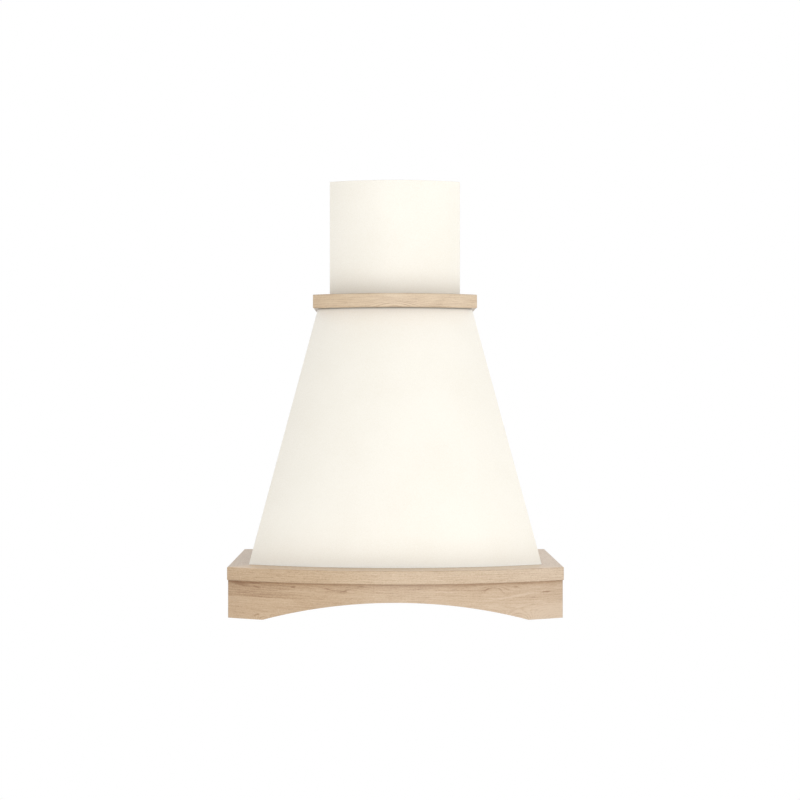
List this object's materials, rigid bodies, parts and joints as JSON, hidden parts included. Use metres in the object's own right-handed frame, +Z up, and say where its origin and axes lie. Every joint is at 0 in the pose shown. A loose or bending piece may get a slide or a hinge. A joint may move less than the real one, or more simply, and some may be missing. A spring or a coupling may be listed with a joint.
{
  "type": "wooden range hood cover",
  "caption": "Wall-hung bow-fronted range hood cover: arched oak base band, tapered cream body, oak neck band, raisable chimney, with extractor insert inside.",
  "frame": {"origin": "middle wall screw hole of the cleat, on the wall plane; the apron's feet are 277.7 mm below it", "axes": "+X to the right, +Y into the wall, +Z up; the bowed front faces -Y"},
  "size_m": [0.6, 0.5, 0.8035],
  "materials": {
    "oak": "raw, fine sanded, unfinished pale oak",
    "cream_lacquer": "cream satin lacquer on bent plywood",
    "plywood": "sanded birch plywood",
    "pine": "planed pine",
    "stainless": "brushed",
    "aluminium": "satin anodised",
    "filter_mesh": "expanded mesh",
    "zinc_screw": "zinc plated",
    "bezel_chrome": "satin chrome",
    "lamp_glass": "frosted",
    "black_plastic": "fine moulded texture",
    "motor_paint": "powder coated",
    "plated_steel": "zinc plated",
    "button_plastic": "gloss"
  },
  "bodies": {
    "cover": {"apron_front": "oak", "apron_glue_blocks": "pine", "apron_side_left": "oak", "apron_side_right": "oak", "base_deck": "plywood", "blower_shell_left": "black_plastic", "blower_shell_right": "black_plastic", "body_front_panel": "cream_lacquer", "body_side_left": "cream_lacquer", "body_side_right": "cream_lacquer", "cable_gland": "black_plastic", "corner_post_left": "pine", "corner_post_right": "pine", "deck_screws": "zinc_screw", "filter_hinge_lugs": "stainless", "hanging_rail": "pine", "insert_housing": "stainless", "insert_screws": "zinc_screw", "lamp_bezel_left": "bezel_chrome", "lamp_bezel_right": "bezel_chrome", "lamp_lens_left": "lamp_glass", "lamp_lens_right": "lamp_glass", "mantel_front": "oak", "mantel_rear_rail": "pine", "mantel_side_left": "oak", "mantel_side_right": "oak", "middle_former": "plywood", "motor": "motor_paint", "motor_bracket": "plated_steel", "neck_band_front": "oak", "neck_band_side_left": "oak", "neck_band_side_right": "oak", "neck_ring": "plywood", "outlet_collar": "black_plastic", "rear_bottom_rail": "pine", "rear_stile_left": "pine", "rear_stile_right": "pine", "switch_block": "black_plastic", "terminal_box": "black_plastic", "wall_cleat": "pine"},
    "chimney": {"chimney_front": "cream_lacquer", "chimney_side_left": "cream_lacquer", "chimney_side_right": "cream_lacquer", "chimney_batten_left": "pine", "chimney_batten_right": "pine", "chimney_rear_ties": "pine", "chimney_stop_blocks": "pine"},
    "fan": {"impeller": "black_plastic", "fan_shaft": "plated_steel"},
    "flap_rear": {"damper_flap_rear": "aluminium"},
    "flap_front": {"damper_flap_front": "aluminium"},
    "filter_left": {"filter_frame_left": "aluminium", "filter_mesh_left": "filter_mesh"},
    "filter_right": {"filter_frame_right": "aluminium", "filter_mesh_right": "filter_mesh"},
    "button_1": {"push_button_1": "button_plastic"},
    "button_2": {"push_button_2": "button_plastic"},
    "button_3": {"push_button_3": "button_plastic"},
    "button_4": {"push_button_4": "button_plastic"},
    "button_5": {"push_button_5": "button_plastic"}
  },
  "joints": [
    {"name": "chimney_slide", "type": "slide", "parent": "cover", "child": "chimney", "axis": [0, 0, 1], "range_m": [0, 0.16]},
    {"name": "fan_spin", "type": "hinge", "parent": "cover", "child": "fan", "pos_m": [0, -0.1685, -0.0652], "axis": [1, 0, 0], "continuous": true},
    {"name": "damper_rear_swing", "type": "hinge", "parent": "cover", "child": "flap_rear", "pos_m": [0, -0.115, 0.0863], "axis": [1, 0, 0], "range_deg": [0, 75]},
    {"name": "damper_front_swing", "type": "hinge", "parent": "cover", "child": "flap_front", "pos_m": [0, -0.125, 0.0863], "axis": [-1, 0, 0], "range_deg": [0, 75]},
    {"name": "filter_left_hinge", "type": "hinge", "parent": "cover", "child": "filter_left", "pos_m": [0, -0.0525, -0.1832], "axis": [1, 0, 0], "range_deg": [0, 80]},
    {"name": "filter_right_hinge", "type": "hinge", "parent": "cover", "child": "filter_right", "pos_m": [0, -0.0525, -0.1832], "axis": [1, 0, 0], "range_deg": [0, 80]},
    {"name": "button_1_press", "type": "slide", "parent": "cover", "child": "button_1", "axis": [0, 0, 1], "range_m": [0, 0.0025], "stiffness_N_per_m": 400, "springref_m": -0.001},
    {"name": "button_2_press", "type": "slide", "parent": "cover", "child": "button_2", "axis": [0, 0, 1], "range_m": [0, 0.0025], "stiffness_N_per_m": 400, "springref_m": -0.001},
    {"name": "button_3_press", "type": "slide", "parent": "cover", "child": "button_3", "axis": [0, 0, 1], "range_m": [0, 0.0025], "stiffness_N_per_m": 400, "springref_m": -0.001},
    {"name": "button_4_press", "type": "slide", "parent": "cover", "child": "button_4", "axis": [0, 0, 1], "range_m": [0, 0.0025], "stiffness_N_per_m": 400, "springref_m": -0.001},
    {"name": "button_5_press", "type": "slide", "parent": "cover", "child": "button_5", "axis": [0, 0, 1], "range_m": [0, 0.0025], "stiffness_N_per_m": 400, "springref_m": -0.001}
  ]
}
